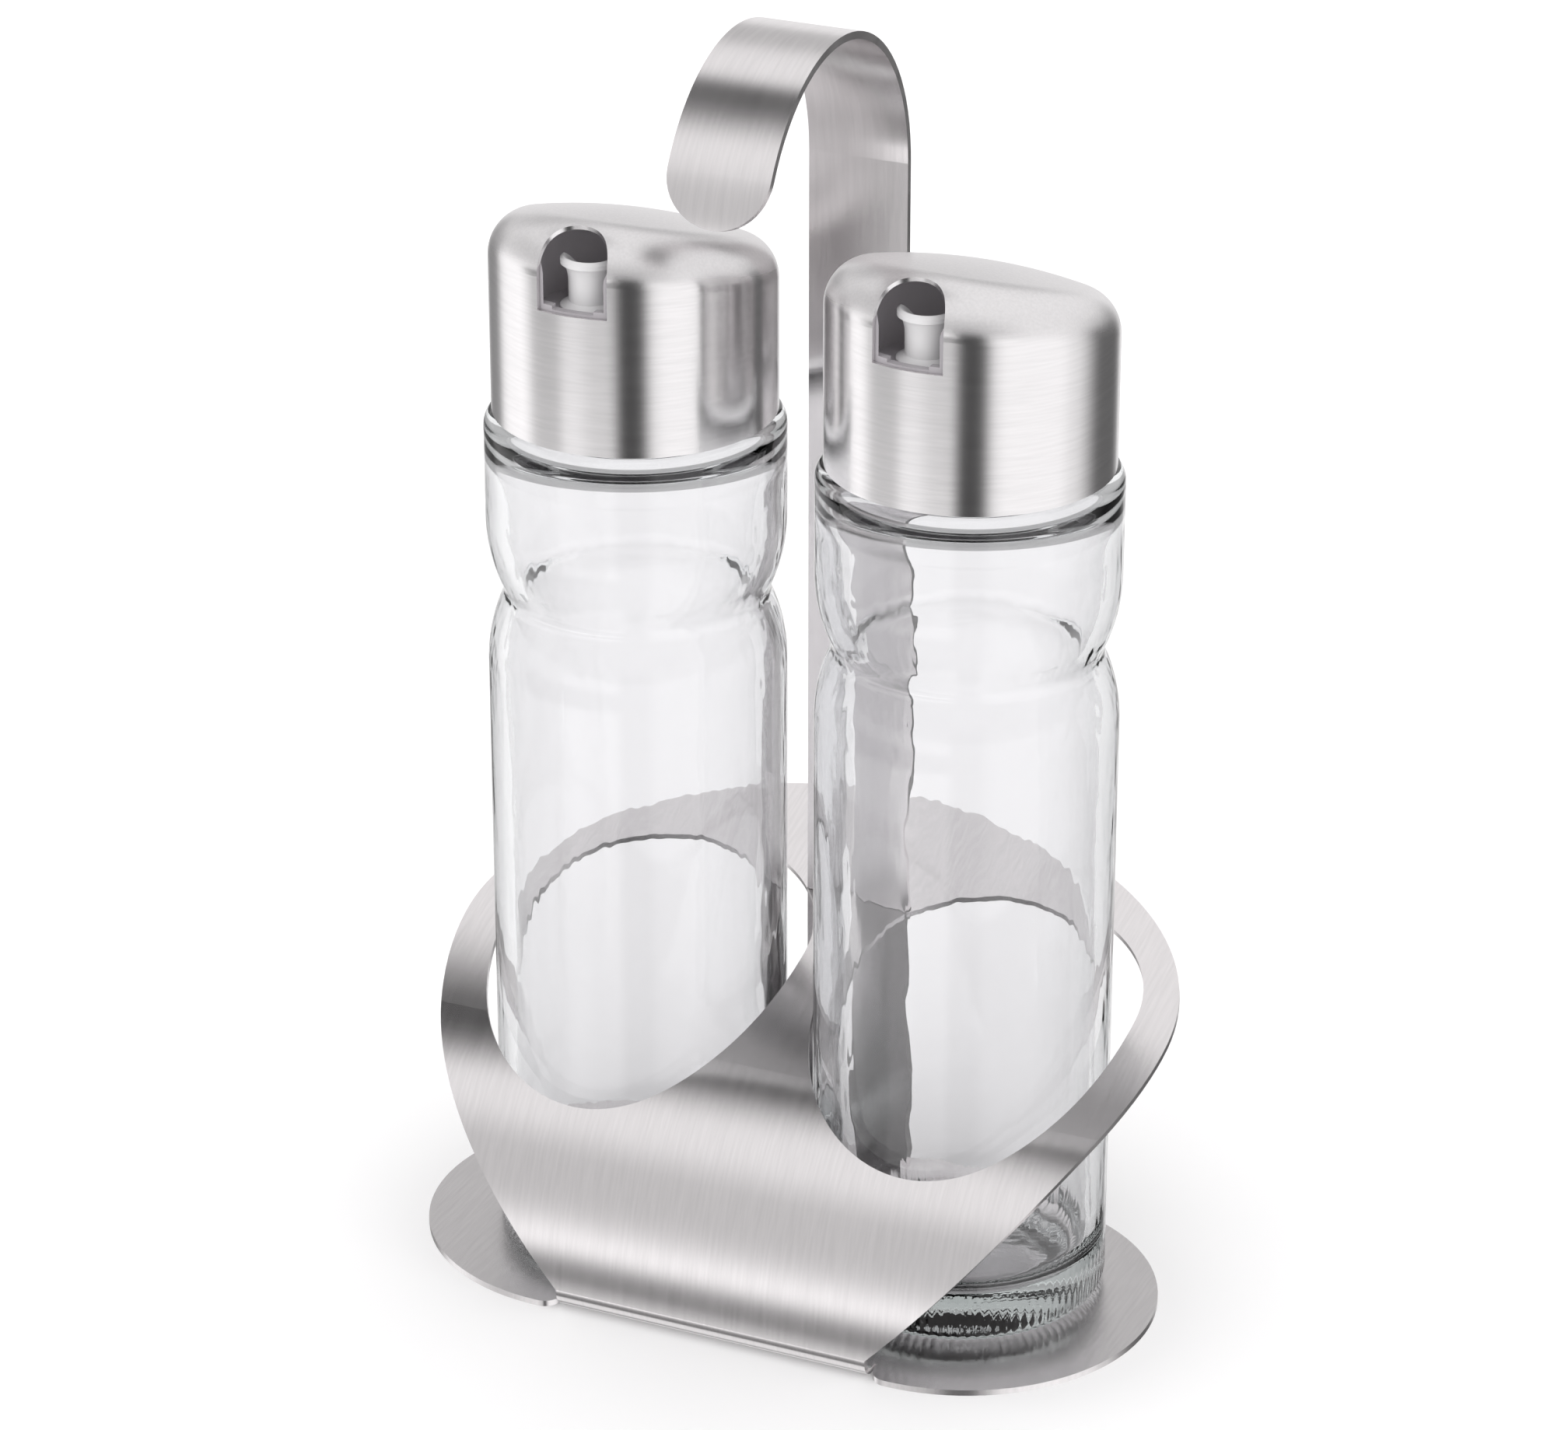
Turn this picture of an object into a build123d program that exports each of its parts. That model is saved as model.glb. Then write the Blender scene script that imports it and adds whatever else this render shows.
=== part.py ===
from build123d import *
from math import acos, asin, degrees
import os

# Cruet set: a folded steel stand with a strap handle, holding two glass cruets with slanted steel caps.
# Millimetres. +Z is up, the row of two cruets lies along X, and the front of the set faces -Y.
# The origin is the middle of the underside of the set's overall box.

# ---- Driving dimensions: stand ----
OVERALL_DEPTH = 84.8  # front of the fold to the rear edge of the panel
SHEET = 1.0
BASE_LENGTH = 126.0
BASE_WIDTH = 64.0
FOLD_RADIUS = 3.4  # outside radius of the fold between base and panel
FOLD_WIDTH = 54.6
RELIEF_WIDTH = 0.5  # slit between the fold and the lobes of the base
RELIEF_DEPTH = 4.2
RELIEF_CORNER = 2.8

# The panel climbs from the fold in tangent arcs, each (radius, angle where it ends).
# Angles are from the horizontal. The panel starts at PANEL_START and leans back.
PANEL_START = 85.0
PANEL_ARCS = [(58.0, 64.0), (36.0, 28.0), (135.0, 16.0)]

# The panel's blank is drawn on a plane that leans BLANK_TILT degrees and starts at the fold.
BLANK_TILT = 50.0
BLANK_HALF_WIDTH = 62.1
BLANK_WIDEST = 60.2  # distance up the blank where it is widest
BLANK_SIDE_HANDLES = [(48.6, 18.3), (BLANK_HALF_WIDTH, 42.9)]
HOLE_CENTRE = (29.0, 63.5)  # widest place of a cruet's hole: across, and up the blank
HOLE_HALF_WIDTH = 26.3
HOLE_FRONT = 35.0
HOLE_REAR = 20.0

# ---- Driving dimensions: strap handle ----
STRAP_WIDTH = 16.8
STRAP_THICKNESS = 1.2
STRAP_SETBACK = 58.5  # front of the fold to the front of the strap
HOOK_RADIUS = 28.4
HOOK_SWEEP = 168.0
HOOK_TOP = 211.6
TAB_WIDTH = 9.0

# ---- Driving dimensions: bottles, with heights above the table ----
CRUET_PITCH = 57.0
CRUET_SETBACK = 36.4  # front of the fold to the row of cruets
GLASS_RADIUS = 24.0
GLASS_WALL = 3.0
GLASS_FLOOR = 8.0
HEEL_RADIUS = 3.0
PUNT_RISE = 2.5
WAIST_RADIUS = 21.0
WAIST_HEIGHT = 114.3
WAIST_ARC = 28.0  # radius of the glass above and below the waist
WAIST_ROUND = 1.5
COLLAR_TOP = 144.8
COLLAR_ROUND = 2.6
NECK_RADIUS = 17.5
NECK_BORE = 13.5
NECK_TOP = 157.0
FLOOR_ROUND = 6.0
THROAT_LOW = 137.6
THROAT_RISE = 4.6

# ---- Driving dimensions: caps ----
CAP_RADIUS = 22.7
CAP_WALL = 0.6
CAP_BOTTOM = 145.1
CAP_TOP = 177.8  # height of the slanted top on the cap's axis
CAP_SLANT = 16.0
CAP_DOME = 85.0  # radius of the slight crown of the top
CAP_ROUND = 7.5
CAP_BLANK = 60.0  # height of the drum before its top is cut
RIGHT_CAP_TURN = -4.0  # the right cap sits turned a little, as a pushed-on cap can
WINDOW_RADIUS = 6.0
WINDOW_REACH = 23.0  # cap's axis to the centre of the window's arch
WINDOW_SILL = 167.6

# ---- Driving dimensions: plastic insert, spout and seal inside each cap ----
DECK_TOP = 166.9
DECK_THICKNESS = 1.6
INSERT_WALL = 1.2
SKIRT_BOTTOM = 146.4
PLUG_RADIUS = 12.4
PLUG_BOTTOM = 148.5
SEAL_LOW = 150.5
SEAL_HIGH = 154.5
SEAL_GROOVE = 0.6
LEDGE_HEIGHT = 1.7
LEDGE_WIDTH = 1.3
LEDGE_LENGTH = 14.0
LEDGE_NOTCH = 7.0
LEDGE_STEP = 0.6  # how far the notch is cut below the ledge's top
SCREEN_RADIUS = 8.2  # curved screen behind the spout
SCREEN_SETBACK = 15.0
VENT_OFFSET = 9.0
VENT_RADIUS = 1.4
SPOUT_OFFSET = 15.4
SPOUT_BORE = 2.5
SPOUT_RADIUS = 3.4
SPOUT_LIP_RADIUS = 4.6
FLANGE_RADIUS = 4.7
FLANGE_EDGE = 0.5
FLANGE_RISE = 1.2
SPOUT_TOP = 175.4
SPOUT_FLARE = 4.2  # height of the flare below the lip
SPOUT_CUT = 50.0  # slope of the lip, which falls away towards the rear

FREE = 0.08  # running gap between pieces that slide in one another
SLOT_GAP = 0.15  # gap around the strap in its slots
FRONT = -OVERALL_DEPTH / 2
CRUET_Y = FRONT + CRUET_SETBACK
STRAP_Y = FRONT + STRAP_SETBACK + STRAP_THICKNESS / 2


def polar(radius, angle):
    """A step of this length and angle in the side view, where X stands for depth and Y for height."""
    return Vector(radius, 0).rotate(Axis.Z, angle)


# ---- Stand: one folded sheet ----


def panel_path():
    """The panel's outer face in side view, from the fold to the rear edge."""
    here = Vector(FRONT + FOLD_RADIUS, FOLD_RADIUS) + polar(FOLD_RADIUS, 90 + PANEL_START)
    angle = PANEL_START
    path = []
    for radius, end_angle in PANEL_ARCS:
        centre = here + polar(radius, angle - 90)
        path.append(CenterArc(centre, radius, angle + 90, end_angle - angle))
        here = centre + polar(radius, end_angle + 90)
        angle = end_angle
    slope = polar(1, angle)
    rear = OVERALL_DEPTH / 2 - SHEET * slope.Y
    path.append(Line(here, here + slope * ((rear - here.X) / slope.X)))
    return path


def cruet_hole(across):
    """One cruet's hole in the blank: two half ellipses that share their width."""
    middle = (across, HOLE_CENTRE[1])
    rear = EllipticalCenterArc(middle, HOLE_HALF_WIDTH, HOLE_REAR, arc_size=180)
    front = EllipticalCenterArc(middle, HOLE_HALF_WIDTH, HOLE_FRONT, start_angle=180, arc_size=180)
    return make_face([rear, front])


def blank_outline(length):
    """The panel's blank: flared sides, a half-elliptical rear and two holes."""
    start = FOLD_WIDTH / 2
    widest = (BLANK_HALF_WIDTH, BLANK_WIDEST)
    side = Bezier((start, 0), *BLANK_SIDE_HANDLES, widest)
    rise = length - BLANK_WIDEST
    rear = EllipticalCenterArc((0, BLANK_WIDEST), BLANK_HALF_WIDTH, rise, arc_size=180)
    bottom = Line((-start, 0), (start, 0))
    outline = make_face([bottom, side, rear, mirror(side, about=Plane.YZ)])
    return outline - cruet_hole(HOLE_CENTRE[0]) - cruet_hole(-HOLE_CENTRE[0])


def make_panel():
    """The curved panel: strips of the bent surface, cut to the blank and given their thickness."""
    path = panel_path()
    first = path[0] @ 0
    climb = polar(1, BLANK_TILT)
    length = ((path[-1] @ 1) - first).dot(climb)
    plane = Plane((0, first.X, first.Y), x_dir=(1, 0, 0), z_dir=(0, -climb.Y, climb.X))
    cutter = extrude(plane * blank_outline(length), amount=OVERALL_DEPTH, both=True)
    strips = []
    for edge in path:
        start = (Plane.YZ * edge).moved(Location((-BASE_LENGTH, 0, 0)))
        wide = Face.extrude(start, (2 * BASE_LENGTH, 0, 0))
        for piece in (wide & cutter).faces():
            down = piece.normal_at().Y > 0
            strips.append(thicken(piece, amount=SHEET if down else -SHEET))
    return strips


def make_fold():
    """The tight fold between the base and the panel."""
    centre = (FRONT + FOLD_RADIUS, FOLD_RADIUS)
    sweep = 180 - PANEL_START
    outer = CenterArc(centre, FOLD_RADIUS, 270, -sweep)
    inner = CenterArc(centre, FOLD_RADIUS - SHEET, 270, -sweep)
    ends = [Line(outer @ 0, inner @ 0), Line(outer @ 1, inner @ 1)]
    section = make_face([outer, inner] + ends)
    return extrude(Plane.YZ * section, amount=FOLD_WIDTH / 2, both=True)


def make_base():
    """The flat base: a long oval, notched on each side of the fold to let the sheet bend up."""
    middle = FRONT + BASE_WIDTH / 2
    notch_half = FOLD_WIDTH / 2 + RELIEF_WIDTH
    plate = Pos(0, middle) * SlotOverall(BASE_LENGTH, BASE_WIDTH)
    plate -= Pos(0, FRONT) * Rectangle(2 * notch_half, 2 * RELIEF_DEPTH)
    for sign in (-1, 1):
        # each lobe's corner beside its slit is rounded
        corner = Pos(sign * RELIEF_CORNER / 2, RELIEF_CORNER / 2) * Rectangle(RELIEF_CORNER, RELIEF_CORNER)
        corner -= Pos(sign * RELIEF_CORNER, RELIEF_CORNER) * Circle(RELIEF_CORNER)
        plate -= Pos(sign * notch_half, FRONT) * corner
    tongue_end = FRONT + FOLD_RADIUS
    tongue = Pos(0, tongue_end + 2) * Rectangle(FOLD_WIDTH, 4)
    return extrude(plate + tongue, amount=SHEET)


def make_stand():
    """Base, fold and panel in one sheet, with the strap's two slots."""
    stand = make_base() + make_fold()
    for strip in make_panel():
        stand += strip
    depth = STRAP_THICKNESS + 2 * SLOT_GAP
    stand -= Pos(0, STRAP_Y, 50) * Box(STRAP_WIDTH + 2 * SLOT_GAP, depth, 40)
    stand -= Pos(0, STRAP_Y, 0) * Box(TAB_WIDTH + 2 * SLOT_GAP, depth, 4 * SHEET)
    return stand


# ---- Strap handle ----


def hook_tip(centre):
    """A block, square to the strap near its end, whose round nose gives the strap its tip."""
    half = STRAP_WIDTH / 2
    turn = degrees(half / 2 / HOOK_RADIUS)
    out = polar(1, HOOK_SWEEP - turn)
    plane = Plane((0, centre.X, centre.Y), x_dir=(1, 0, 0), z_dir=(0, out.X, out.Y))
    nose = half - polar(HOOK_RADIUS, turn).Y
    shape = Pos(0, nose) * Circle(half) + Pos(0, nose + 30) * Rectangle(4 * half, 60)
    return extrude(plane * shape, amount=40, both=True)


def make_strap():
    """A flat strap: a tab through the base, a straight post and a hook with a round tip."""
    centre = Vector(STRAP_Y + STRAP_THICKNESS / 2 - HOOK_RADIUS, HOOK_TOP - HOOK_RADIUS)
    outer = CenterArc(centre, HOOK_RADIUS, 0, HOOK_SWEEP)
    inner = CenterArc(centre, HOOK_RADIUS - STRAP_THICKNESS, 0, HOOK_SWEEP)
    ends = [Line(outer @ 0, inner @ 0), Line(outer @ 1, inner @ 1)]
    hook = extrude(Plane.YZ * make_face([outer, inner] + ends), amount=STRAP_WIDTH / 2, both=True)
    hook &= hook_tip(centre)
    height = centre.Y - SHEET
    post = Pos(0, STRAP_Y, SHEET + height / 2) * Box(STRAP_WIDTH, STRAP_THICKNESS, height)
    tab = Pos(0, STRAP_Y, SHEET / 2) * Box(TAB_WIDTH, STRAP_THICKNESS, SHEET)
    return post + tab + hook


# ---- One cruet, built on its own axis ----


def turned(lines):
    """A solid of revolution about Z from lines drawn as (radius, height)."""
    return revolve(Plane.XZ * make_face(lines), axis=Axis.Z)


def ring(inner, outer, low, high):
    """A plain tube between two heights."""
    tube = Cylinder(outer, high - low, align=(Align.CENTER, Align.CENTER, Align.MIN))
    tube -= Cylinder(inner, high - low, align=(Align.CENTER, Align.CENTER, Align.MIN))
    return Pos(0, 0, low) * tube


def bottle_outside():
    """The bottle's outside as a solid: domed underside, rounded heel, waist, collar and neck."""
    foot = GLASS_RADIUS - HEEL_RADIUS
    dome_edge = foot - 1
    dome = (dome_edge**2 + PUNT_RISE**2) / (2 * PUNT_RISE)
    dome_turn = degrees(asin(dome_edge / dome))
    turn = degrees(acos(1 - (GLASS_RADIUS - WAIST_RADIUS) / WAIST_ARC))
    rise = polar(WAIST_ARC, turn).Y
    low = WAIST_HEIGHT - rise
    high = WAIST_HEIGHT + rise
    shoulder = GLASS_RADIUS - COLLAR_ROUND
    section = [
        CenterArc((0, SHEET + PUNT_RISE - dome), dome, 90, -dome_turn),
        Line((dome_edge, SHEET), (foot, SHEET)),
        CenterArc((foot, SHEET + HEEL_RADIUS), HEEL_RADIUS, 270, 90),
        Line((GLASS_RADIUS, SHEET + HEEL_RADIUS), (GLASS_RADIUS, low)),
        CenterArc((GLASS_RADIUS - WAIST_ARC, low), WAIST_ARC, 0, turn),
        CenterArc((GLASS_RADIUS - WAIST_ARC, high), WAIST_ARC, -turn, turn),
        Line((GLASS_RADIUS, high), (GLASS_RADIUS, COLLAR_TOP - COLLAR_ROUND)),
        CenterArc((shoulder, COLLAR_TOP - COLLAR_ROUND), COLLAR_ROUND, 0, 90),
        Line((shoulder, COLLAR_TOP), (NECK_RADIUS, COLLAR_TOP)),
        Line((NECK_RADIUS, COLLAR_TOP), (NECK_RADIUS, NECK_TOP)),
        Line((NECK_RADIUS, NECK_TOP), (0, NECK_TOP)),
        Line((0, NECK_TOP), (0, SHEET + PUNT_RISE)),
    ]
    face = make_face(section)
    waist = [v for v in face.vertices() if abs(v.Y - WAIST_HEIGHT) < 0.01]
    return turned(fillet(waist, WAIST_ROUND))


def bottle_inside():
    """The bottle's hollow, one wall in from its outside, open at the mouth."""
    bore = GLASS_RADIUS - GLASS_WALL
    arc = WAIST_ARC - GLASS_WALL
    rise = polar(WAIST_ARC, degrees(acos(1 - (GLASS_RADIUS - WAIST_RADIUS) / WAIST_ARC))).Y
    turn = degrees(asin(rise / arc))
    low = WAIST_HEIGHT - rise
    high = WAIST_HEIGHT + rise
    throat = bore - NECK_BORE
    section = [
        Line((0, GLASS_FLOOR), (bore - FLOOR_ROUND, GLASS_FLOOR)),
        CenterArc((bore - FLOOR_ROUND, GLASS_FLOOR + FLOOR_ROUND), FLOOR_ROUND, 270, 90),
        Line((bore, GLASS_FLOOR + FLOOR_ROUND), (bore, low)),
        CenterArc((bore - arc, low), arc, 0, turn),
        CenterArc((bore - arc, high), arc, -turn, turn),
        Line((bore, high), (bore, THROAT_LOW)),
        EllipticalCenterArc((NECK_BORE, THROAT_LOW), throat, THROAT_RISE, arc_size=90),
        Line((NECK_BORE, THROAT_LOW + THROAT_RISE), (NECK_BORE, NECK_TOP + 1)),
        Line((NECK_BORE, NECK_TOP + 1), (0, NECK_TOP + 1)),
        Line((0, NECK_TOP + 1), (0, GLASS_FLOOR)),
    ]
    face = make_face(section)
    waist = [v for v in face.vertices() if abs(v.Y - WAIST_HEIGHT) < 0.01]
    return turned(fillet(waist, 2 * WAIST_ROUND))


def make_bottle():
    """The glass bottle: its outside less its hollow."""
    return bottle_outside() - bottle_inside()


def slanted_drum(radius, bottom, top, rounding):
    """A drum with a slanted, slightly crowned and rounded top, highest towards the front."""
    drum = Cylinder(radius, CAP_BLANK, align=(Align.CENTER, Align.CENTER, Align.MIN))
    drum = Pos(0, 0, bottom) * drum
    lean = polar(CAP_DOME, 90 - CAP_SLANT)
    drum &= Pos(0, -lean.X, top - lean.Y) * Sphere(CAP_DOME)
    rim = drum.edges().sort_by(Axis.Z)[-1]
    return fillet(rim, rounding)


def cap_inside(gap):
    """The space inside the cap, less this gap all round."""
    shrink = CAP_WALL + gap
    return slanted_drum(CAP_RADIUS - shrink, CAP_BOTTOM - 5, CAP_TOP - shrink, CAP_ROUND - shrink)


def make_cap_shell():
    """The steel cap: a slanted drum, open below, with an arched window at the front."""
    shell = slanted_drum(CAP_RADIUS, CAP_BOTTOM, CAP_TOP, CAP_ROUND) - cap_inside(0)
    window = Circle(WINDOW_RADIUS) + Pos(0, -5) * Rectangle(2 * WINDOW_RADIUS, 10)
    return shell - Pos(0, -WINDOW_REACH, WINDOW_SILL) * extrude(window, amount=30)


def make_cap_insert():
    """The plastic insert: a skirt in the shell, a deck behind the window and a plug for the neck."""
    outer = CAP_RADIUS - CAP_WALL - FREE
    inner = outer - INSERT_WALL
    seat = NECK_TOP + FREE
    seat_top = seat + INSERT_WALL
    bore = PLUG_RADIUS - INSERT_WALL
    insert = ring(inner, outer, SKIRT_BOTTOM, DECK_TOP)
    insert += Pos(0, 0, DECK_TOP - DECK_THICKNESS / 2) * Cylinder(outer, DECK_THICKNESS)
    insert += ring(bore, outer, seat, seat_top)
    insert += ring(bore, PLUG_RADIUS, PLUG_BOTTOM, seat_top)
    insert -= ring(PLUG_RADIUS - SEAL_GROOVE, PLUG_RADIUS + 1, SEAL_LOW, SEAL_HIGH)
    ledge = ring(outer - LEDGE_WIDTH, outer, DECK_TOP - 0.1, DECK_TOP + LEDGE_HEIGHT)
    ledge &= Pos(0, -outer, DECK_TOP) * Box(LEDGE_LENGTH, 12, 8)
    ledge -= Pos(0, -outer, DECK_TOP + LEDGE_HEIGHT - LEDGE_STEP + 4) * Box(LEDGE_NOTCH, 12, 8)
    screen = ring(SCREEN_RADIUS, SCREEN_RADIUS + INSERT_WALL, DECK_TOP - 0.1, CAP_TOP + 8)
    insert += ledge + Pos(0, -SCREEN_SETBACK) * screen
    insert -= Pos(0, -SPOUT_OFFSET, DECK_TOP) * Cylinder(SPOUT_RADIUS + FREE, 8)
    insert -= Pos(0, VENT_OFFSET, DECK_TOP) * Cylinder(VENT_RADIUS, 8)
    return insert & cap_inside(FREE)


def make_spout():
    """The pouring spout: a tube with a foot flange and a flared lip dished towards its bore."""
    low = DECK_TOP - DECK_THICKNESS
    neck = SPOUT_TOP - SPOUT_FLARE
    flare = SPOUT_LIP_RADIUS - SPOUT_RADIUS
    dish = SPOUT_LIP_RADIUS - 0.5
    section = [
        Line((SPOUT_BORE, low), (SPOUT_RADIUS, low)),
        Line((SPOUT_RADIUS, low), (SPOUT_RADIUS, DECK_TOP)),
        Line((SPOUT_RADIUS, DECK_TOP), (FLANGE_RADIUS, DECK_TOP)),
        Line((FLANGE_RADIUS, DECK_TOP), (FLANGE_RADIUS, DECK_TOP + FLANGE_EDGE)),
        Line((FLANGE_RADIUS, DECK_TOP + FLANGE_EDGE), (SPOUT_RADIUS, DECK_TOP + FLANGE_RISE)),
        Line((SPOUT_RADIUS, DECK_TOP + FLANGE_RISE), (SPOUT_RADIUS, neck)),
        EllipticalCenterArc((SPOUT_LIP_RADIUS, neck), flare, 3, start_angle=90, arc_size=90),
        Line((SPOUT_LIP_RADIUS, neck + 3), (SPOUT_LIP_RADIUS, SPOUT_TOP - 0.5)),
        Line((SPOUT_LIP_RADIUS, SPOUT_TOP - 0.5), (dish, SPOUT_TOP)),
        EllipticalCenterArc((dish, neck + 1), dish - SPOUT_BORE, 3.2, start_angle=90, arc_size=90),
        Line((SPOUT_BORE, neck + 1), (SPOUT_BORE, low)),
    ]
    lip_cut = Pos(0, -1, SPOUT_TOP) * Rot(-SPOUT_CUT, 0, 0) * Pos(0, 0, 10) * Box(30, 60, 20)
    return Pos(0, -SPOUT_OFFSET) * (turned(section) - lip_cut)


def make_seal():
    """The soft ring round the plug."""
    inner = PLUG_RADIUS - SEAL_GROOVE + FREE / 2
    outer = NECK_BORE - FREE / 2
    seal = ring(inner, outer, SEAL_LOW + FREE, SEAL_HIGH - FREE)
    outside = [e for e in seal.edges().filter_by(GeomType.CIRCLE) if e.radius > inner + 0.1]
    return fillet(outside, 0.5)


def save(name, shape):
    """Writes one piece to its own file."""
    shape.label = name
    export_step(shape, "parts/" + name + ".step")


os.makedirs("parts", exist_ok=True)
save("stand_frame", make_stand())
save("strap_handle", make_strap())
CRUET_PIECES = {
    "bottle": make_bottle(),
    "cap_shell": make_cap_shell(),
    "cap_insert": make_cap_insert(),
    "pour_spout": make_spout(),
    "seal_ring": make_seal(),
}
for side, sign, turn in (("left", -1, 0), ("right", 1, RIGHT_CAP_TURN)):
    place = Pos(sign * CRUET_PITCH / 2, CRUET_Y, 0) * Rot(0, 0, turn)
    for piece, shape in CRUET_PIECES.items():
        save(side + "_" + piece, place * shape)
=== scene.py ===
import math

import bmesh
import bpy
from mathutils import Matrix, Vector, noise


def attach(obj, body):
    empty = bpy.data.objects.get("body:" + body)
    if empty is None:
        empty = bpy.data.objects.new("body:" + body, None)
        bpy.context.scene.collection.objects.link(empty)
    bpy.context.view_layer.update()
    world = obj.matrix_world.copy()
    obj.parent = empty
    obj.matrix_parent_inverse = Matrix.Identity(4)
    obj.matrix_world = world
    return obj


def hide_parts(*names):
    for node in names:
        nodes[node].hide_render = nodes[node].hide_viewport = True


# Looks of the cruet set: brushed steel stand and caps, pressed glass bottles and a pale studio.
# Metres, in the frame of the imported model: +Z up, the bottles side by side along X, front towards -Y.

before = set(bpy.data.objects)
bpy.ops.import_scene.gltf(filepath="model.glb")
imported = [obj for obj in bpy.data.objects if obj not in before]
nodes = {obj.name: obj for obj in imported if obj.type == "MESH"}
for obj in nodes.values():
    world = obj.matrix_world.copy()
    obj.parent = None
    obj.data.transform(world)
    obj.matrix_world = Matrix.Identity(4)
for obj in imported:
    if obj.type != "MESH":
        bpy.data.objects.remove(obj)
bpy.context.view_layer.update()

MM = 0.001
SIDES = ("left", "right")

# ---- Node helpers ----

# Moves every noise off the object's origin, where noise patterns line up with the axes.
NOISE_OFFSET = (0.37, 0.41, 0.73)


def new_material(name):
    """An empty node material with its output and a Principled shader already joined."""
    material = bpy.data.materials.new(name)
    material.use_nodes = True
    tree = material.node_tree
    tree.nodes.clear()
    output = tree.nodes.new("ShaderNodeOutputMaterial")
    shader = tree.nodes.new("ShaderNodeBsdfPrincipled")
    tree.links.new(shader.outputs["BSDF"], output.inputs["Surface"])
    return material, tree, shader


def add(tree, kind, inputs=None, **settings):
    """Adds a node, sets its properties, and fills or links its inputs."""
    node = tree.nodes.new(kind)
    for key, value in settings.items():
        setattr(node, key, value)
    for key, value in (inputs or {}).items():
        socket = node.inputs[key]
        if isinstance(value, bpy.types.NodeSocket):
            tree.links.new(value, socket)
        else:
            socket.default_value = value
    return node


def calculated(tree, operation, *values):
    """The result of a Math node."""
    return add(tree, "ShaderNodeMath", dict(enumerate(values)), operation=operation).outputs[0]


def object_coordinates(tree):
    """A point's place on the object, in metres."""
    return add(tree, "ShaderNodeTexCoord").outputs["Object"]


def noise_value(tree, scale, detail=2.0):
    """Noise between 0 and 1, with a scale per axis in repeats per metre."""
    stretch = {"Vector": object_coordinates(tree), "Location": NOISE_OFFSET, "Scale": scale}
    vector = add(tree, "ShaderNodeMapping", stretch).outputs["Vector"]
    inputs = {"Vector": vector, "Scale": 1.0, "Detail": detail, "Roughness": 0.5}
    return add(tree, "ShaderNodeTexNoise", inputs).outputs["Fac"]


def ranged(tree, value, low, high, start=0.0, end=1.0):
    """Maps a value from start..end to low..high, and holds it there outside them."""
    inputs = {"Value": value, "From Min": start, "From Max": end, "To Min": low, "To Max": high}
    return add(tree, "ShaderNodeMapRange", inputs).outputs["Result"]


def mixed_colour(tree, factor, first, second):
    """A blend of two colours by a factor."""
    inputs = {0: factor, 6: (*first, 1), 7: (*second, 1)}
    return add(tree, "ShaderNodeMix", inputs, data_type="RGBA").outputs[2]


def blended(tree, factor, first, second):
    """A blend of two values by a factor."""
    return add(tree, "ShaderNodeMix", {0: factor, 2: first, 3: second}, data_type="FLOAT").outputs[0]


def bumped(tree, height, strength, distance):
    """A bump normal from a height, with its distance in metres."""
    inputs = {"Height": height, "Strength": strength, "Distance": distance}
    return add(tree, "ShaderNodeBump", inputs).outputs["Normal"]


# ---- Brushed steel ----

# Noise scales in repeats per metre. The sheets are brushed up and down, the caps round and round.
SHEET_STREAKS = (1900, 130, 130)
CAP_STREAKS = (120, 120, 2000)
COARSE_STREAKS = 0.3  # of the streaks' own scale
CLOUD_SCALE = 45.0
GRAIN_SCALE = 2300.0

# How strongly the brushing shows in tone, roughness and bump. Noise hardly leaves NOISE_CORE.
NOISE_CORE = (0.3, 0.7)
STREAK_DARKNESS = 0.935
ROUGHNESS_SPREAD = 0.009
STREAK_BUMP = (0.03, 0.02 * MM)

# Satin begins where a surface faces up this much, and is full at the second value.
SATIN_SLOPE = (0.12, 0.45)
SATIN_ROUGHNESS = 0.13

SHEET_TINT = (0.88, 0.855, 0.86)
CAP_TINT = (0.89, 0.875, 0.88)
SHEET_ANISOTROPY = 0.6
CAP_ANISOTROPY = 0.5
PANEL_ROUGHNESS = 0.23
STRAP_ROUGHNESS = 0.26
CAP_ROUGHNESS = 0.22
ALONG_X = (1, 0, 0)
ALONG_Z = (0, 0, 1)


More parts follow.
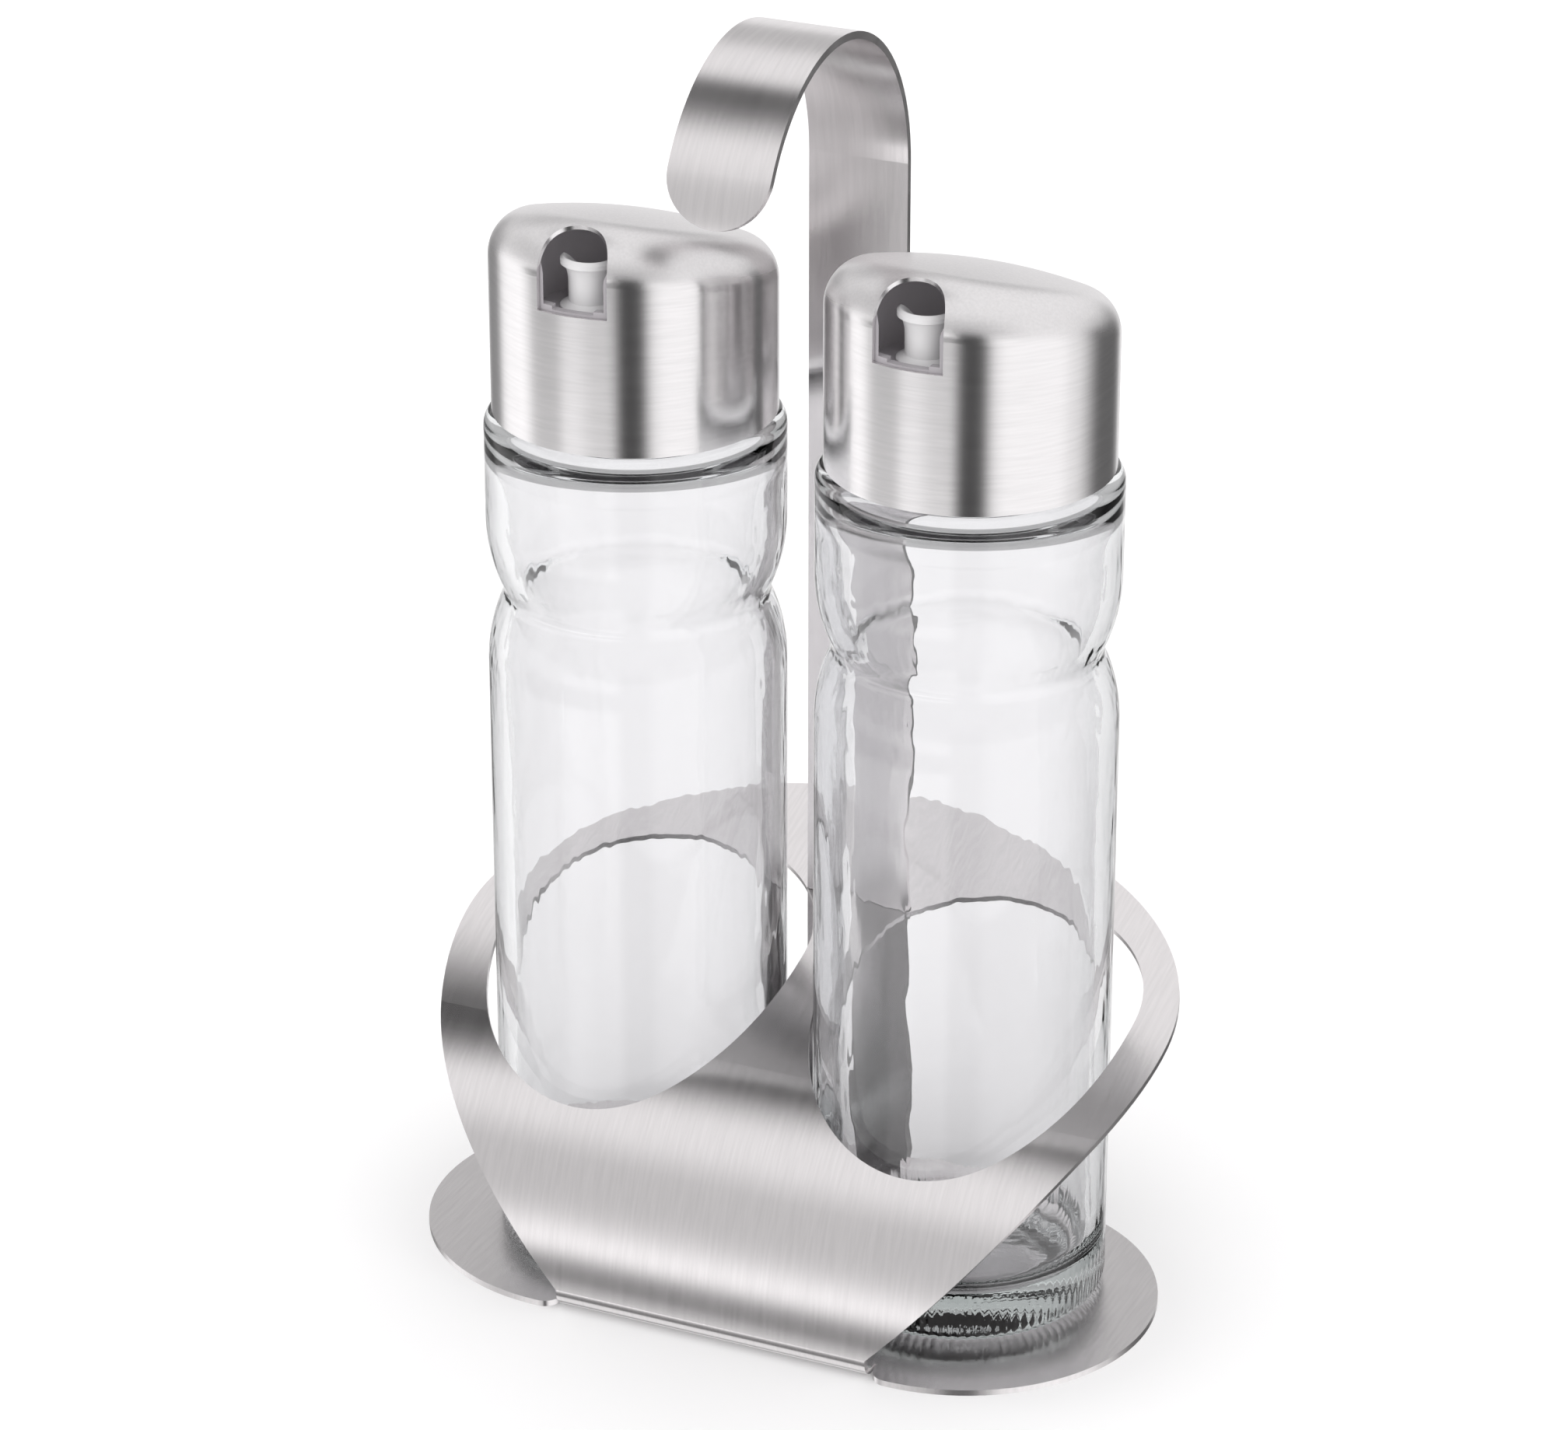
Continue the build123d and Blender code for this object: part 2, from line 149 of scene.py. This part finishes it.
def brushed_steel(name, streaks, tint, roughness, anisotropy, blur_along, satin_top=False):
    """Brushed stainless steel. streaks is the noise scale per axis: high across the brushing, low along it.
    With satin_top, surfaces that face up are blasted satin instead of brushed."""
    material, tree, shader = new_material(name)
    fine = noise_value(tree, streaks)
    coarse = noise_value(tree, tuple(s * COARSE_STREAKS for s in streaks))
    cloud = noise_value(tree, (CLOUD_SCALE,) * 3)
    if satin_top:
        grain = noise_value(tree, (GRAIN_SCALE,) * 3, detail=1.0)
        normal = add(tree, "ShaderNodeNewGeometry").outputs["Normal"]
        up = add(tree, "ShaderNodeSeparateXYZ", {0: normal}).outputs["Z"]
        facing = ranged(tree, up, 0.0, 1.0, *SATIN_SLOPE)
        fine = blended(tree, facing, fine, grain)
        coarse = blended(tree, facing, coarse, cloud)
    dark = tuple(c * STREAK_DARKNESS for c in tint)
    colour = mixed_colour(tree, ranged(tree, fine, 0, 1, *NOISE_CORE), dark, tint)
    tree.links.new(colour, shader.inputs["Base Color"])
    uneven = ranged(tree, coarse, -ROUGHNESS_SPREAD, ROUGHNESS_SPREAD, *NOISE_CORE)
    smear = ranged(tree, cloud, roughness - ROUGHNESS_SPREAD, roughness + ROUGHNESS_SPREAD)
    rough = calculated(tree, "ADD", uneven, smear)
    if satin_top:
        rough = calculated(tree, "ADD", rough, ranged(tree, facing, 0.0, SATIN_ROUGHNESS))
    tree.links.new(rough, shader.inputs["Roughness"])
    shader.inputs["Metallic"].default_value = 1.0
    shader.inputs["Anisotropic"].default_value = anisotropy
    along = add(tree, "ShaderNodeCombineXYZ", dict(enumerate(blur_along)))
    tree.links.new(along.outputs["Vector"], shader.inputs["Tangent"])
    tree.links.new(bumped(tree, coarse, *STREAK_BUMP), shader.inputs["Normal"])
    return material


# ---- Plastics and rubber ----

TONE_SCALE = 160
PLASTIC_GRAIN = 2500
RUBBER_GRAIN = 1800
TONES = (0.93, 1.06)
PLASTIC_ROUGHNESS_SPREAD = 0.05
GRAIN_BUMP = (0.12, 0.03 * MM)


def plastic(name, colour, roughness, grain):
    """Moulded plastic with a fine grain and slight changes of tone."""
    material, tree, shader = new_material(name)
    tone = noise_value(tree, (TONE_SCALE,) * 3, detail=3.0)
    low, high = (tuple(min(1, c * t) for c in colour) for t in TONES)
    tree.links.new(mixed_colour(tree, tone, low, high), shader.inputs["Base Color"])
    spread = PLASTIC_ROUGHNESS_SPREAD
    tree.links.new(ranged(tree, tone, roughness - spread, roughness + spread), shader.inputs["Roughness"])
    tree.links.new(bumped(tree, noise_value(tree, (grain,) * 3), *GRAIN_BUMP), shader.inputs["Normal"])
    return material


# ---- Clear glass ----

GLASS_IOR = 1.5
# The edge colour below is painted shade: the grey the glass's base colour takes towards its silhouette.
GLASS_FACE = (0.895, 0.89, 0.9)
GLASS_EDGE_SHADE = (0.6, 0.6, 0.61)
EDGE_SHADE_START = 0.2
THICKNESS_CLOUD = (30, 30, 12)
THICKNESS_SPREAD = 0.04
SMUDGES = (420, 420, 300)
SMUDGE_CORE = (0.35, 0.75)
SMUDGE_ROUGHNESS = 0.03
BODY_COLOUR = (0.86, 0.9, 0.89, 1.0)
BODY_DENSITY = 40.0

# Under the caps the glass keeps only this part of its painted edge shade. Heights in metres.
SHOULDER_SHARE = 0.1
SHOULDER_HEIGHTS = (0.133, 0.140)


def clear_glass(name):
    """Pressed clear glass: greyer towards its edges by painted shade, grey-green where it is thick, a little
    smudged.
    """
    material, tree, shader = new_material(name)
    # Painted shade: the base colour greys towards the silhouette by facing, with a little random thickness
    # tone added, and less of it under the caps.
    edge = add(tree, "ShaderNodeLayerWeight", {"Blend": 0.5}).outputs["Facing"]
    cloud = ranged(tree, noise_value(tree, THICKNESS_CLOUD), -THICKNESS_SPREAD, THICKNESS_SPREAD)
    depth = calculated(tree, "ADD", ranged(tree, edge, 0.0, 1.0, EDGE_SHADE_START), cloud)
    height = add(tree, "ShaderNodeSeparateXYZ", {0: object_coordinates(tree)}).outputs["Z"]
    shoulder = ranged(tree, height, 1.0, SHOULDER_SHARE, *SHOULDER_HEIGHTS)
    depth = calculated(tree, "MULTIPLY", depth, shoulder)
    tree.links.new(mixed_colour(tree, depth, GLASS_FACE, GLASS_EDGE_SHADE), shader.inputs["Base Color"])
    smudges = ranged(tree, noise_value(tree, SMUDGES, detail=1.0), 0.0, SMUDGE_ROUGHNESS, *SMUDGE_CORE)
    tree.links.new(smudges, shader.inputs["Roughness"])
    shader.inputs["IOR"].default_value = GLASS_IOR
    shader.inputs["Transmission Weight"].default_value = 1.0
    body = add(tree, "ShaderNodeVolumeAbsorption", {"Color": BODY_COLOUR, "Density": BODY_DENSITY})
    output = next(n for n in tree.nodes if n.bl_idname == "ShaderNodeOutputMaterial")
    tree.links.new(body.outputs["Volume"], output.inputs["Volume"])
    return material


# ---- Finishes of the CAD nodes ----

INSERT_COLOUR = (0.42, 0.4, 0.42)
SPOUT_COLOUR = (0.74, 0.735, 0.74)
SEAL_COLOUR = (0.62, 0.62, 0.6)

PANEL_STEEL = brushed_steel(
    "brushed_steel_sheet", SHEET_STREAKS, SHEET_TINT, PANEL_ROUGHNESS, SHEET_ANISOTROPY, ALONG_X
)
STRAP_STEEL = brushed_steel(
    "brushed_steel_strap", SHEET_STREAKS, SHEET_TINT, STRAP_ROUGHNESS, SHEET_ANISOTROPY, ALONG_X
)
CAP_STEEL = brushed_steel(
    "satin_steel_cap", CAP_STREAKS, CAP_TINT, CAP_ROUGHNESS, CAP_ANISOTROPY, ALONG_Z, satin_top=True
)
INSERT_PLASTIC = plastic("grey_plastic", INSERT_COLOUR, roughness=0.45, grain=PLASTIC_GRAIN)
SPOUT_PLASTIC = plastic("pale_grey_plastic", SPOUT_COLOUR, roughness=0.38, grain=PLASTIC_GRAIN)
SEAL_RUBBER = plastic("soft_seal_rubber", SEAL_COLOUR, roughness=0.6, grain=RUBBER_GRAIN)
GLASS = clear_glass("clear_glass")


def dress(node, material):
    """Gives a CAD node a better material in every slot."""
    for slot in nodes[node].material_slots:
        slot.material = material


dress("stand_frame", PANEL_STEEL)
dress("strap_handle", STRAP_STEEL)
for side in SIDES:
    dress(side + "_cap_shell", CAP_STEEL)
    dress(side + "_cap_insert", INSERT_PLASTIC)
    dress(side + "_pour_spout", SPOUT_PLASTIC)
    dress(side + "_seal_ring", SEAL_RUBBER)

# ---- Glass bottles: pressed glass with an uneven inner wall and a ribbed heel ----

# All in millimetres, with heights above the table. Outside, from the bottom up.
CRUET_X = 28.5
CRUET_Y = -6.0
FOOT = 1.02
DOME_EDGE = 20.0
DOME_RISE = 2.5
DOME_RADII = (1, 3, 6, 9, 12, 15, 17, 18.5, 19.5)
OUTSIDE = 24.0
HEEL = 3.0
WAIST = 21.0
WAIST_HEIGHT = 114.3
WAIST_ARC = 28.0
COLLAR_TOP = 144.8
COLLAR_ROUND = 2.6
NECK = 17.5
NECK_TOP = 157.0
RIM_ROUND = 0.4
NECK_FILLET = 0.3

# Inside.
WALL = 3.0
BORE = 13.5
THROAT_LOW = 135.4
THROAT_RISE = 6.8
FLOOR_TOP = 8.0
FLOOR_ROUND = 6.0
FLOOR_HUB = 1.0

# Each waist is two arcs that stop this many degrees short of meeting, joined by a soft crease: what its edge
# and its middle stand out from the waist's radius, and how far its edges lie above and below the middle.
OUTER_CREASE = 3.2
OUTER_CREASE_EDGE, OUTER_CREASE_MIDDLE, OUTER_CREASE_HALF = 0.42, 0.3, 0.75
INNER_CREASE = 6.0
INNER_CREASE_EDGE, INNER_CREASE_MIDDLE, INNER_CREASE_HALF = 1.05, 0.8, 1.5

# Ribs round the heel: they are full beyond the second radius and fade out between the two heights. Their feet
# rise too, up to a share of their depth, fading between the last two heights.
RIBS = 98
RIB_DEPTH = 0.26
RIB_RADII = (20.2, 22.0)
RIB_HEIGHTS = (4.2, 6.2)
RIB_FOOT_SHARE = 0.35
RIB_FOOT_HEIGHTS = (1.2, 3.0)
SEGMENTS = RIBS * 4

# Unevenness of the inside: long waves and a fine peel on the wall up to the throat, and stipple on the floor.
WAVES = 0.1
WAVES_ACROSS = 0.16
WAVES_UP = 0.045
PEEL = 0.03
PEEL_ACROSS = 0.8
PEEL_UP = 0.6
EVEN_HEIGHTS = (130.0, 135.0)
STIPPLE = 0.08
STIPPLE_SCALE = 1.1
STIPPLE_HEIGHTS = (8.3, 10.0)

# Where each side's noise starts, so that the two bottles differ.
NOISE_STARTS = {"left": 3.7, "right": 11.3}


def run(first, last, count):
    """Points along a straight run, without its last point."""
    steps = [i / count for i in range(count)]
    return [(first[0] + (last[0] - first[0]) * t, first[1] + (last[1] - first[1]) * t) for t in steps]


def arc(centre, size, start, end, count):
    """Points along an elliptical arc, angles in degrees, without its last point."""
    angles = [math.radians(start + (end - start) * i / count) for i in range(count)]
    return [(centre[0] + size[0] * math.cos(a), centre[1] + size[1] * math.sin(a)) for a in angles]


def smooth_step(value, low, high):
    """0 below low, 1 above high, smooth between."""
    t = max(0.0, min(1.0, (value - low) / (high - low)))
    return t * t * (3 - 2 * t)


# The profiles' points each become a ring of the mesh, and the last number of a run or an arc is its count.
# Half the waist's height: where its arcs leave the straight wall.
WAIST_RISE = WAIST_ARC * math.sin(math.acos(1 - (OUTSIDE - WAIST) / WAIST_ARC))


def outer_profile():
    """The bottle's outside from the middle of its underside to the neck's top, as (radius, height)."""
    turn = math.degrees(math.acos(1 - (OUTSIDE - WAIST) / WAIST_ARC))
    low, high = WAIST_HEIGHT - WAIST_RISE, WAIST_HEIGHT + WAIST_RISE
    centre = OUTSIDE - WAIST_ARC
    size = (WAIST_ARC, WAIST_ARC)
    edge, middle = WAIST + OUTER_CREASE_EDGE, WAIST + OUTER_CREASE_MIDDLE
    foot = OUTSIDE - HEEL
    shoulder = OUTSIDE - COLLAR_ROUND
    collar = COLLAR_TOP - COLLAR_ROUND
    rim = (RIM_ROUND, RIM_ROUND)
    points = [(r, FOOT + DOME_RISE * (1 - (r / DOME_EDGE) ** 2)) for r in DOME_RADII]
    points += run((DOME_EDGE, FOOT), (foot, FOOT), 2)
    points += arc((foot, FOOT + HEEL), (HEEL, HEEL), -90, 0, 12)
    points += run((OUTSIDE, FOOT + HEEL), (OUTSIDE, low), 22)
    points += arc((centre, low), size, 0, turn - OUTER_CREASE, 14)
    points += arc((centre, low), size, turn - OUTER_CREASE, turn, 1)
    points += [
        (edge, WAIST_HEIGHT - OUTER_CREASE_HALF),
        (middle, WAIST_HEIGHT),
        (edge, WAIST_HEIGHT + OUTER_CREASE_HALF),
    ]
    points += arc((centre, high), size, OUTER_CREASE - turn, 0, 14)
    points += run((OUTSIDE, high), (OUTSIDE, collar), 9)
    points += arc((shoulder, collar), (COLLAR_ROUND, COLLAR_ROUND), 0, 90, 10)
    points += run((shoulder, COLLAR_TOP), (NECK + NECK_FILLET, COLLAR_TOP), 3)
    points += [
        (NECK + NECK_FILLET, COLLAR_TOP),
        (NECK + NECK_FILLET / 5, COLLAR_TOP + NECK_FILLET / 5),
    ]
    points += run((NECK, COLLAR_TOP + NECK_FILLET), (NECK, NECK_TOP - RIM_ROUND), 5)
    points += arc((NECK - RIM_ROUND, NECK_TOP - RIM_ROUND), rim, 0, 90, 5)
    return points


def inner_profile():
    """The hollow from the rim of the mouth down to the middle of the floor."""
    bore = OUTSIDE - WALL
    radius = WAIST_ARC - WALL
    size = (radius, radius)
    turn = math.degrees(math.asin(WAIST_RISE / radius))
    low, high = WAIST_HEIGHT - WAIST_RISE, WAIST_HEIGHT + WAIST_RISE
    centre = bore - radius
    waist = centre + radius * math.cos(math.radians(turn))
    edge, middle = waist + INNER_CREASE_EDGE, waist + INNER_CREASE_MIDDLE
    floor_edge = bore - FLOOR_ROUND
    floor_round = FLOOR_TOP + FLOOR_ROUND
    rim = (RIM_ROUND, RIM_ROUND)
    points = [(NECK - RIM_ROUND, NECK_TOP), (BORE + RIM_ROUND, NECK_TOP)]
    points += arc((BORE + RIM_ROUND, NECK_TOP - RIM_ROUND), rim, 90, 180, 5)
    points += run((BORE, NECK_TOP - RIM_ROUND), (BORE, THROAT_LOW + THROAT_RISE), 6)
    points += arc((BORE, THROAT_LOW), (bore - BORE, THROAT_RISE), 90, 0, 12)
    points += run((bore, THROAT_LOW), (bore, high), 8)
    points += arc((centre, high), size, 0, INNER_CREASE - turn, 14)
    points += [
        (edge, WAIST_HEIGHT + INNER_CREASE_HALF),
        (middle, WAIST_HEIGHT),
        (edge, WAIST_HEIGHT - INNER_CREASE_HALF),
    ]
    points += arc((centre, low), size, turn - INNER_CREASE, 0, 14)
    points += run((bore, low), (bore, floor_round), 44)
    points += arc((floor_edge, floor_round), (FLOOR_ROUND, FLOOR_ROUND), 0, -90, 14)
    points += run((floor_edge, FLOOR_TOP), (FLOOR_HUB, FLOOR_TOP), 14)
    return points


def rib_shift(radius, height, angle):
    """How far a rib pulls a point of the heel in, and how far it lifts it."""
    share = smooth_step(radius, *RIB_RADII) * (1 - smooth_step(height, *RIB_HEIGHTS))
    pull = RIB_DEPTH * share * (0.5 + 0.5 * math.cos(RIBS * angle))
    return pull, RIB_FOOT_SHARE * pull * (1 - smooth_step(height, *RIB_FOOT_HEIGHTS))


def inner_unevenness(x, y, z, start):
    """How far pressing has left the inner wall off its true radius."""
    waves = noise.noise(Vector((x * WAVES_ACROSS + start, y * WAVES_ACROSS, z * WAVES_UP)))
    peel = noise.noise(Vector((x * PEEL_ACROSS, y * PEEL_ACROSS + start, z * PEEL_UP)))
    return (1 - smooth_step(z, *EVEN_HEIGHTS)) * (WAVES * waves + PEEL * peel)


def floor_stipple(x, y, z, start):
    """How far the stippled floor stands above its true height."""
    bumps = noise.noise(Vector((x * STIPPLE_SCALE, y * STIPPLE_SCALE, start)))
    return (1 - smooth_step(z, *STIPPLE_HEIGHTS)) * STIPPLE * bumps


def make_bottle(side, centre_x, start):
    """One bottle as a dense turned mesh, ribbed around its heel and stippled on its floor."""
    outer = outer_profile()
    inner = inner_profile()
    angles = [2 * math.pi * k / SEGMENTS for k in range(SEGMENTS)]
    shape = bmesh.new()
    rings = []
    for index, (radius, height) in enumerate(outer + inner):
        ring = []
        for angle in angles:
            across, deep = radius * math.cos(angle), radius * math.sin(angle)
            if index < len(outer):
                pull, lift = rib_shift(radius, height, angle)
                grown = radius - pull
            else:
                lift = floor_stipple(across, deep, height, start)
                grown = radius + inner_unevenness(across, deep, height, start)
            x = centre_x + grown * math.cos(angle)
            y = CRUET_Y + grown * math.sin(angle)
            ring.append(shape.verts.new((x * MM, y * MM, (height + lift) * MM)))
        rings.append(ring)
    for low, high in zip(rings, rings[1:]):
        for k in range(SEGMENTS):
            after = (k + 1) % SEGMENTS
            shape.faces.new((low[k], low[after], high[after], high[k]))
    for ring, height in ((rings[0], FOOT + DOME_RISE), (rings[-1], FLOOR_TOP)):
        hub = shape.verts.new((centre_x * MM, CRUET_Y * MM, height * MM))
        for k in range(SEGMENTS):
            shape.faces.new((hub, ring[k], ring[(k + 1) % SEGMENTS]))
    bmesh.ops.recalc_face_normals(shape, faces=shape.faces)
    for face in shape.faces:
        face.smooth = True
    mesh = bpy.data.meshes.new(side + "_glass_bottle")
    shape.to_mesh(mesh)
    shape.free()
    mesh.materials.append(GLASS)
    bottle = bpy.data.objects.new(side + "_glass_bottle", mesh)
    bpy.context.collection.objects.link(bottle)
    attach(bottle, side + "_cruet")
    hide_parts(side + "_bottle")


for side, centre_x in zip(SIDES, (-CRUET_X, CRUET_X)):
    make_bottle(side, centre_x, NOISE_STARTS[side])

# ---- Studio: pale floor ----

FLOOR_RADIUS = 3.0
FLOOR_SIDES = 96
FLOOR_TONES = ((0.95,) * 3, (0.97,) * 3)
FLOOR_TONE_SCALE = 4
FLOOR_ROUGHNESS = 0.9
FLOOR_SPECULAR = 0.1


def make_floor():
    """A large pale floor that the steel and glass don't mirror, so that they show only the studio."""
    mesh = bpy.data.meshes.new("studio_floor")
    shape = bmesh.new()
    bmesh.ops.create_circle(shape, cap_ends=True, segments=FLOOR_SIDES, radius=FLOOR_RADIUS)
    shape.to_mesh(mesh)
    shape.free()
    floor = bpy.data.objects.new("studio_floor", mesh)
    bpy.context.collection.objects.link(floor)
    material, tree, shader = new_material("pale_floor")
    tone = mixed_colour(tree, noise_value(tree, (FLOOR_TONE_SCALE,) * 3), *FLOOR_TONES)
    tree.links.new(tone, shader.inputs["Base Color"])
    shader.inputs["Roughness"].default_value = FLOOR_ROUGHNESS
    shader.inputs["Specular IOR Level"].default_value = FLOOR_SPECULAR
    mesh.materials.append(material)
    floor.visible_glossy = False


make_floor()

# ---- Studio: soft light ----

# How bright the surroundings are in the open, as steel and glass mirror them, and as seen through glass
# towards the rear and the front. REAR_TO_FRONT is how far a ray points along FRONT_LIGHT at each of the two.
OPEN_STRENGTH = 1.25
MIRRORED_STRENGTH = 0.88
THROUGH_REAR = 0.6
THROUGH_FRONT = 0.46
FRONT_LIGHT = (0.4, -0.9, 0.15)
REAR_TO_FRONT = (-0.25, 0.45)
LIGHT_COLOUR = (1.0, 0.992, 0.996, 1)

# Zones that only mirrored rays see: azimuth, half width, softness, elevation, half width, softness, depth.
# A negative depth is a glow. In degrees, with azimuth 0 at the front of the set and positive to its right.
ZONES = [
    (23, 6, 12, -30, 30, 14, 0.93),
    (-124, 10, 13, -30, 30, 14, 0.7),
    (152, 12, 32, -30, 26, 16, 0.86),
    (-80, 20, 26, 67, 12, 10, 1.0),
    (-24, 60, 40, 17, 6, 18, 0.33),
    (-24, 34, 20, -15, 3, 7, 0.88),
    (-24, 40, 30, -42, 8, 7, 0.85),
    (-156, 26, 24, 28, 8, 12, 0.42),
    (-12, 18, 12, -28, 20, 14, -0.6),
    (-82, 10, 16, -28, 20, 14, -0.3),
    (-45, 20, 20, -32, 10, 8, -0.3),
    (72, 22, 14, -28, 24, 14, -0.22),
]


def hump(tree, value, centre, half, soft):
    """1 within half of the centre, falling smoothly to 0 over soft."""
    off = calculated(tree, "ABSOLUTE", calculated(tree, "SUBTRACT", value, centre))
    inputs = {"Value": off, "From Min": half, "From Max": half + soft, "To Min": 1.0, "To Max": 0.0}
    return add(tree, "ShaderNodeMapRange", inputs, interpolation_type="SMOOTHSTEP").outputs["Result"]


def make_world():
    """White studio surroundings with soft darker zones, which draw the dark bands on the steel."""
    world = bpy.data.worlds.new("studio")
    bpy.context.scene.world = world
    world.use_nodes = True
    tree = world.node_tree
    tree.nodes.clear()
    output = add(tree, "ShaderNodeOutputWorld")
    light = add(tree, "ShaderNodeBackground", {"Color": LIGHT_COLOUR})
    tree.links.new(light.outputs[0], output.inputs["Surface"])
    direction = add(tree, "ShaderNodeTexCoord").outputs["Generated"]
    xyz = add(tree, "ShaderNodeSeparateXYZ", {0: direction}).outputs
    towards_front = calculated(tree, "MULTIPLY", xyz["Y"], -1.0)
    azimuth = calculated(tree, "DEGREES", calculated(tree, "ARCTAN2", xyz["X"], towards_front))
    elevation = calculated(tree, "DEGREES", calculated(tree, "ARCSINE", xyz["Z"]))
    mirrored = MIRRORED_STRENGTH
    for az, az_half, az_soft, el, el_half, el_soft, depth in ZONES:
        wide = hump(tree, azimuth, az, az_half, az_soft)
        tall = hump(tree, elevation, el, el_half, el_soft)
        shade = calculated(tree, "MULTIPLY", calculated(tree, "MULTIPLY", wide, tall), depth)
        mirrored = calculated(tree, "MULTIPLY", mirrored, calculated(tree, "SUBTRACT", 1.0, shade))
    front = add(tree, "ShaderNodeVectorMath", {0: direction, 1: FRONT_LIGHT}, operation="DOT_PRODUCT")
    through = ranged(tree, front.outputs["Value"], THROUGH_REAR, THROUGH_FRONT, *REAR_TO_FRONT)
    ray = add(tree, "ShaderNodeLightPath").outputs
    is_mirrored = calculated(tree, "MULTIPLY", ray["Is Glossy Ray"], ray["Is Reflection Ray"])
    strength = blended(tree, ray["Is Transmission Ray"], OPEN_STRENGTH, through)
    strength = blended(tree, is_mirrored, strength, mirrored)
    tree.links.new(strength, light.inputs["Strength"])


make_world()

# ---- Camera, at the photograph's viewing angle ----

CAMERA_AZIMUTH = math.radians(24.0)
CAMERA_ELEVATION = math.radians(24.84)
CAMERA_DISTANCE = 0.8907
CAMERA_TARGET = Vector((-0.0018, -0.0084, 0.0972))
SENSOR_WIDTH = 36.0
FOCAL_LENGTH = 128.64
CLIP_START = 0.01
CLIP_END = 20.0

camera_data = bpy.data.cameras.new("camera")
camera_data.sensor_width = SENSOR_WIDTH
camera_data.lens = FOCAL_LENGTH
camera_data.clip_start = CLIP_START
camera_data.clip_end = CLIP_END
camera = bpy.data.objects.new("camera", camera_data)
bpy.context.collection.objects.link(camera)
level = math.cos(CAMERA_ELEVATION)
away = Vector(
    (
        math.sin(CAMERA_AZIMUTH) * level,
        -math.cos(CAMERA_AZIMUTH) * level,
        math.sin(CAMERA_ELEVATION),
    )
)
camera.location = CAMERA_TARGET + away * CAMERA_DISTANCE
camera.rotation_mode = "QUATERNION"
camera.rotation_quaternion = (-away).to_track_quat("-Z", "Y")
bpy.context.scene.camera = camera
bpy.context.scene.view_settings.view_transform = "Standard"
